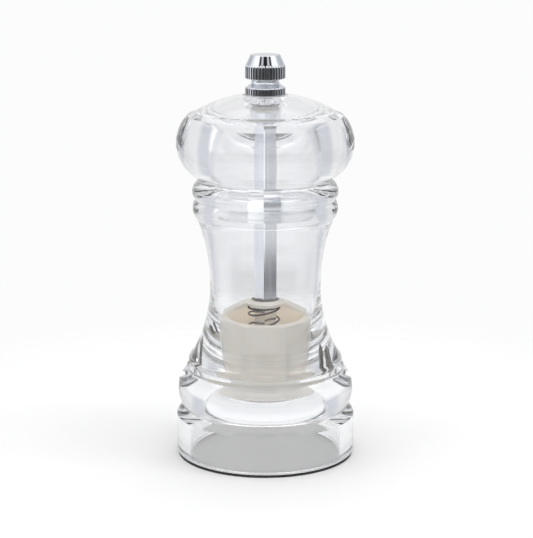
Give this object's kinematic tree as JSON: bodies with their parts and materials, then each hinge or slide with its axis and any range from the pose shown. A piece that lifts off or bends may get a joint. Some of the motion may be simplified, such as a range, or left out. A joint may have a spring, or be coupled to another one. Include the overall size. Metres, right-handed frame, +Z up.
{
  "type": "pepper mill",
  "caption": "Clear acrylic pepper mill: the head turns a square shaft and burrs in a cream cup; a chromed knurled knob sets the grind.",
  "frame": {"origin": "centre of the underside of the foot ring, on the axis of rotation", "axes": "+Z up along the axis of the body, head and shaft; -Y towards the flat facet of the cup that faces the user"},
  "size_m": [0.0622, 0.0622, 0.14],
  "materials": {
    "clear_acrylic": "clear polished acrylic",
    "chrome": "polished chrome plating on a knurled knob",
    "bright_steel": "bright turned stainless steel",
    "aluminium": "drawn aluminium bar, bright",
    "cream_plastic": "cream moulded plastic, satin",
    "ceramic": "opaque off-white technical ceramic",
    "spring_steel": "blackened spring wire",
    "dark_rubber": "dark soft ring"
  },
  "bodies": {
    "base": {"body_shell": "clear_acrylic", "foot_ring": "dark_rubber", "mechanism_housing": "cream_plastic", "stator_burr": "ceramic", "stator_retainer": "cream_plastic", "flange_screws": "bright_steel"},
    "drive": {"thrust_washer": "bright_steel", "adjuster_spring": "spring_steel"},
    "spindle": {"drive_shaft": "aluminium", "rotor_carrier": "cream_plastic", "rotor_burr": "ceramic", "spring_seat": "bright_steel", "rotor_washer": "bright_steel", "rotor_screw": "bright_steel"},
    "head": {"head_shell": "clear_acrylic", "drive_insert": "clear_acrylic", "knob_ferrule": "bright_steel"},
    "knob": {"top_knob": "chrome"}
  },
  "joints": [
    {"name": "head_turn", "type": "hinge", "parent": "base", "child": "drive", "pos_m": [0, 0, 0.06], "axis": [0, 0, 1], "continuous": true},
    {"name": "spindle_lift", "type": "slide", "parent": "drive", "child": "spindle", "axis": [0, 0, 1], "range_m": [0, 0.0016], "deforming": ["adjuster_spring"]},
    {"name": "head_lift", "type": "slide", "parent": "drive", "child": "head", "axis": [0, 0, 1], "range_m": [0, 0.055]},
    {"name": "knob_turn", "type": "hinge", "parent": "head", "child": "knob", "pos_m": [0, 0, 0.13], "axis": [0, 0, 1], "range_deg": [-720, 0]}
  ],
  "couplings": [
    {"joint": "knob_turn", "follows": "spindle_lift", "rad_per_m": -7854}
  ]
}
